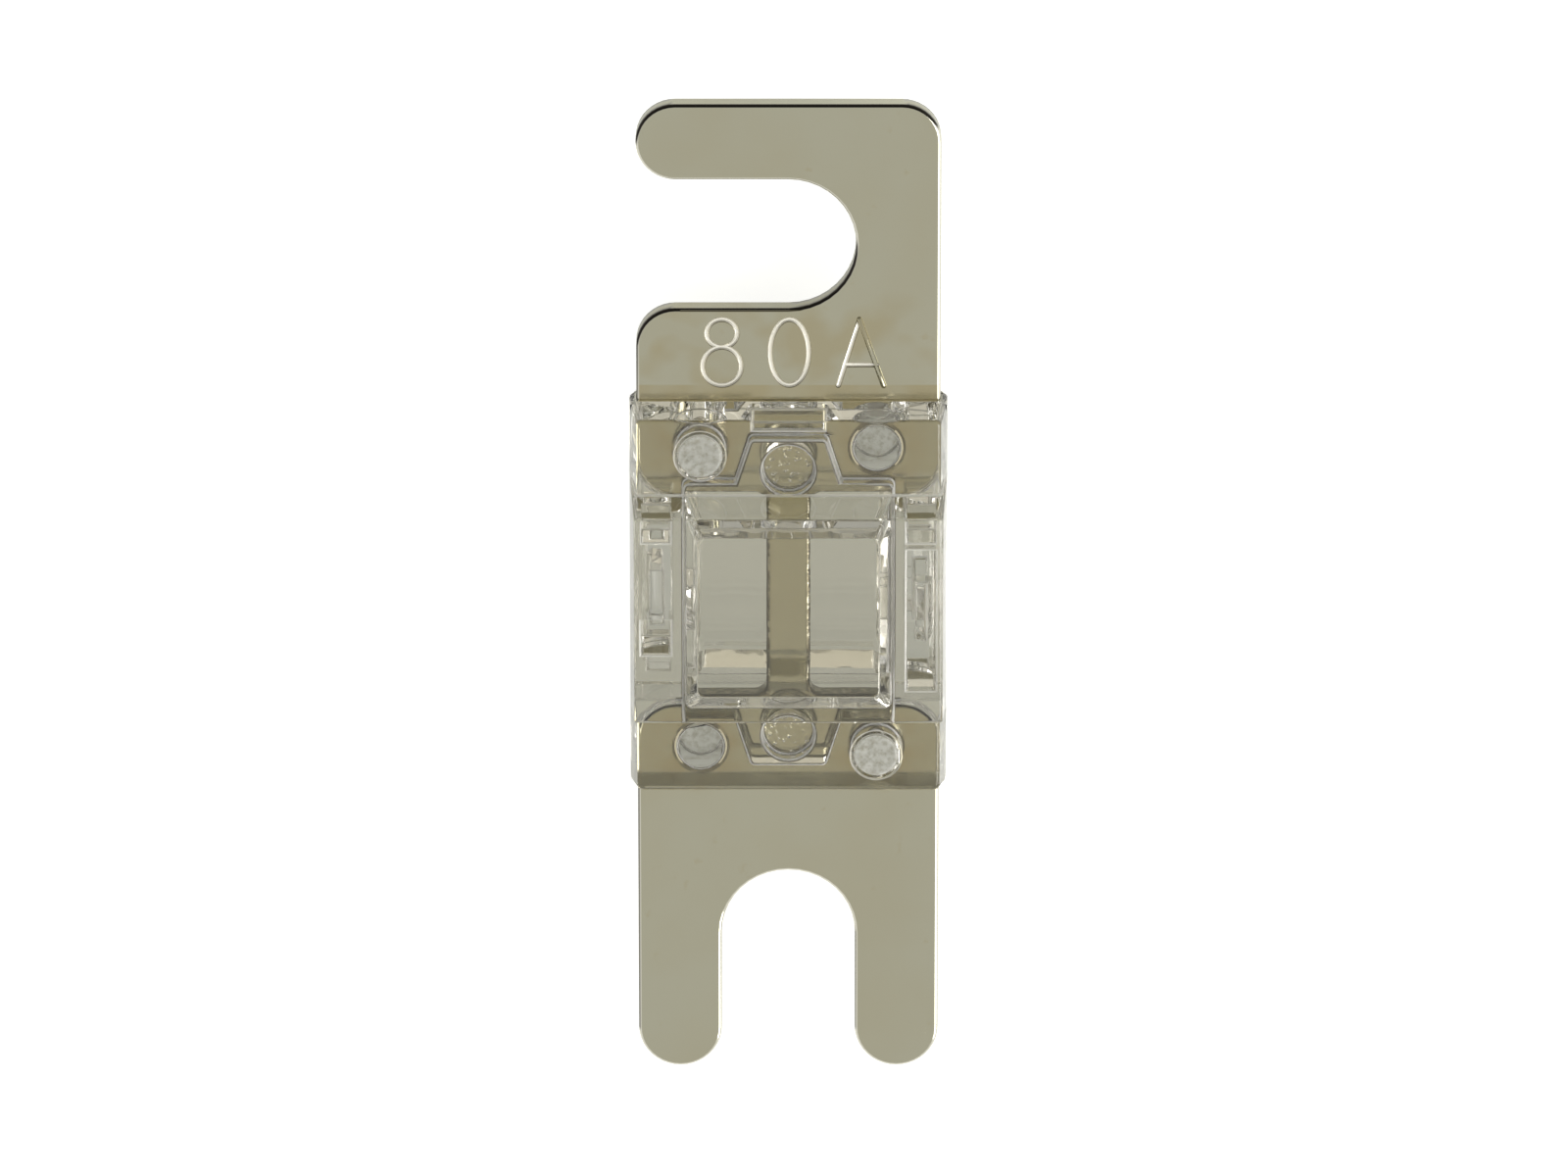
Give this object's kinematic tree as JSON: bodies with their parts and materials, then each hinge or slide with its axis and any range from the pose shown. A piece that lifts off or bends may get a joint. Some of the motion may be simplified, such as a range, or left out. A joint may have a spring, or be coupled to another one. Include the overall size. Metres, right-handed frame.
{
  "type": "bolt down strip fuse",
  "caption": "Flat bolt down fuse: a stamped metal strip with two open stud slots, its narrow link held in a clear two part housing.",
  "frame": {"origin": "middle of the fuse's length and width, on the face of the rear housing block that it lies on", "axes": "+X across the strip, away from the mouth of the side slot; +Y along the strip, towards the side slot; +Z out of the side that carries the rating"},
  "size_m": [0.013, 0.042, 0.008],
  "materials": {
    "plated_strip": "nickel plated, soft shine with fine handling marks",
    "clear_housing": "clear moulded polycarbonate, glossy"
  },
  "bodies": {
    "root": {"fuse_strip": "plated_strip", "front_housing_half": "clear_housing", "rear_housing_half": "clear_housing"}
  },
  "joints": []
}
